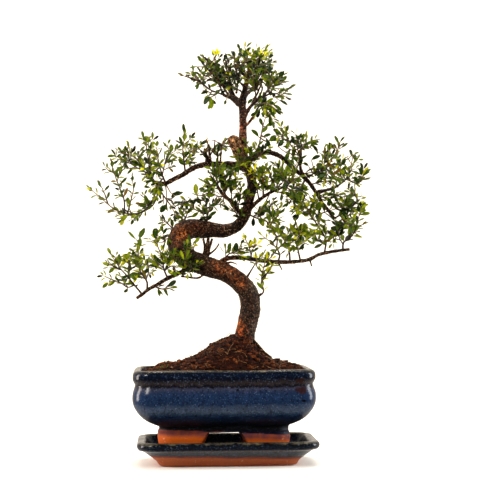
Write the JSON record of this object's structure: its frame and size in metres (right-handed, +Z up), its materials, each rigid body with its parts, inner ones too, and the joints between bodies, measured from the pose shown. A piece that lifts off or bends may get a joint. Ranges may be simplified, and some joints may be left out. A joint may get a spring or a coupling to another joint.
{
  "type": "bonsai in pot",
  "caption": "Syzygium bonsai with an S-shaped trunk and open leafy branches, in a blue glazed footed pot on its drip tray.",
  "frame": {"origin": "centre of the drip tray's flat underside", "axes": "+Z up along the tree, +X to the viewer's right, -Y towards the viewer's front"},
  "size_m": [0.319, 0.1557, 0.4719],
  "materials": {
    "dark_glaze": "gloss",
    "blue_glaze": "gloss",
    "peat": "matte",
    "bark": "matte",
    "leaf": "satin"
  },
  "bodies": {
    "root": {"drip_tray": "dark_glaze", "pot": "blue_glaze", "soil": "peat", "trunk": "bark", "crown_left_spray": "leaf", "crown_inner_spray": "leaf", "crown_front_spray": "leaf", "crown_top_spray": "leaf", "crown_back_spray": "leaf", "crown_right_spray": "leaf", "crown_low_spray": "leaf", "rising_shoot": "leaf", "knot_spray": "leaf", "yellow_shoot": "leaf", "left_tip_spray": "leaf", "left_lower_spray": "leaf", "left_cluster_spray": "leaf", "left_hanging_spray": "leaf", "left_top_spray_a": "leaf", "left_top_spray_b": "leaf", "left_top_spray_c": "leaf", "middle_left_spray": "leaf", "arc_spray": "leaf", "arc_left_spray": "leaf", "loop_outer_spray": "leaf", "loop_front_spray": "leaf", "left_low_outer_spray": "leaf", "left_low_middle_spray": "leaf", "left_low_inner_spray": "leaf", "left_low_sprig": "leaf", "right_low_inner_spray": "leaf", "right_low_middle_spray": "leaf", "right_low_rising_spray": "leaf", "right_low_outer_spray": "leaf", "right_low_tip_spray": "leaf", "right_upper_spray_a": "leaf", "right_upper_spray_b": "leaf", "right_upper_spray_c": "leaf", "right_upper_spray_d": "leaf", "right_mid_spray_a": "leaf", "right_mid_spray_b": "leaf", "right_mid_spray_c": "leaf", "hanging_sprig": "leaf"}
  },
  "joints": []
}
